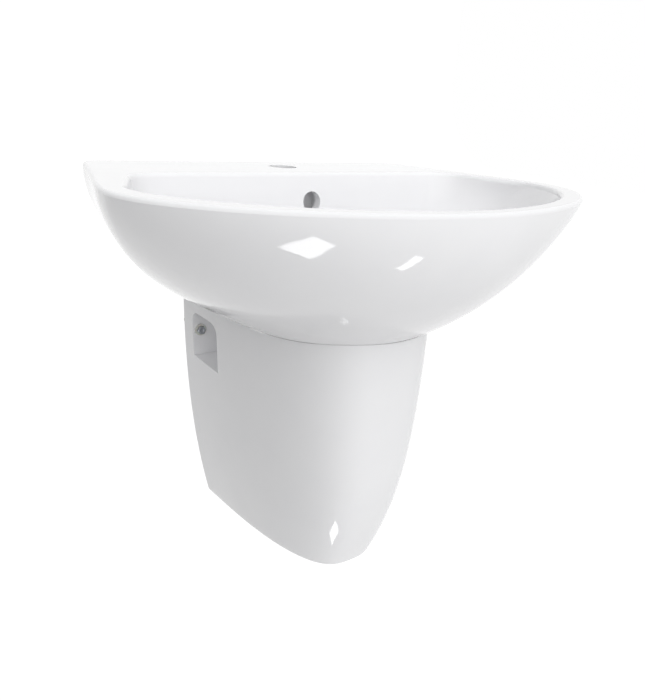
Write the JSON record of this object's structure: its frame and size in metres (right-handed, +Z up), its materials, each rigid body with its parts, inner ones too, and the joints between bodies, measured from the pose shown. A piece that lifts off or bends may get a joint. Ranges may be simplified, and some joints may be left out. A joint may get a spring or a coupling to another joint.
{
  "type": "washbasin with half pedestal",
  "caption": "Wall-hung china washbasin with a straight back, rounded front, tap hole and overflow, over a half pedestal that hides its push-open waste and bottle trap.",
  "frame": {"origin": "on the wall plane, midway between the two bolts that carry the basin", "axes": "+Y into the wall, +X to the right as one stands at the basin, +Z up"},
  "size_m": [0.55, 0.497, 0.493],
  "materials": {
    "glaze": "white glossy vitreous china",
    "zinc_steel": "zinc-plated steel",
    "nylon": "moulded nylon",
    "chrome": "chrome-plated brass",
    "rubber": "black rubber",
    "brass": "turned brass",
    "spring_steel": "drawn spring wire",
    "trap_plastic": "white moulded polypropylene"
  },
  "bodies": {
    "basin_set": {"basin": "glaze", "semi_pedestal": "glaze", "basin_hanger_bolts": "zinc_steel", "basin_washers": "zinc_steel", "basin_nuts": "zinc_steel", "pedestal_screws": "zinc_steel", "basin_wall_plugs": "nylon", "basin_bushes": "nylon", "pedestal_wall_plugs": "nylon", "pedestal_washers": "nylon", "waste_slip_washer": "nylon", "plug_cartridge": "nylon", "waste_body": "chrome", "waste_flange_seal": "rubber", "waste_cone_seal": "rubber", "trap_inlet_washer": "rubber", "trap_neck_washer": "rubber", "trap_cup_seal": "rubber", "trap_outlet_washer": "rubber", "waste_backnut": "brass", "plug_spring": "spring_steel", "trap_inlet_nut": "trap_plastic", "trap_inlet_tube": "trap_plastic", "trap_body": "trap_plastic", "trap_neck_nut": "trap_plastic", "trap_cup": "trap_plastic", "trap_outlet_nut": "trap_plastic", "outlet_pipe": "trap_plastic", "wall_rosette": "trap_plastic"},
    "plug": {"plug_cap": "chrome", "plug_seal": "rubber", "plug_stem": "brass"}
  },
  "joints": [
    {"name": "plug_lift", "type": "slide", "parent": "basin_set", "child": "plug", "axis": [0, 0, 1], "range_m": [0, 0.008], "deforming": ["plug_spring"]}
  ]
}
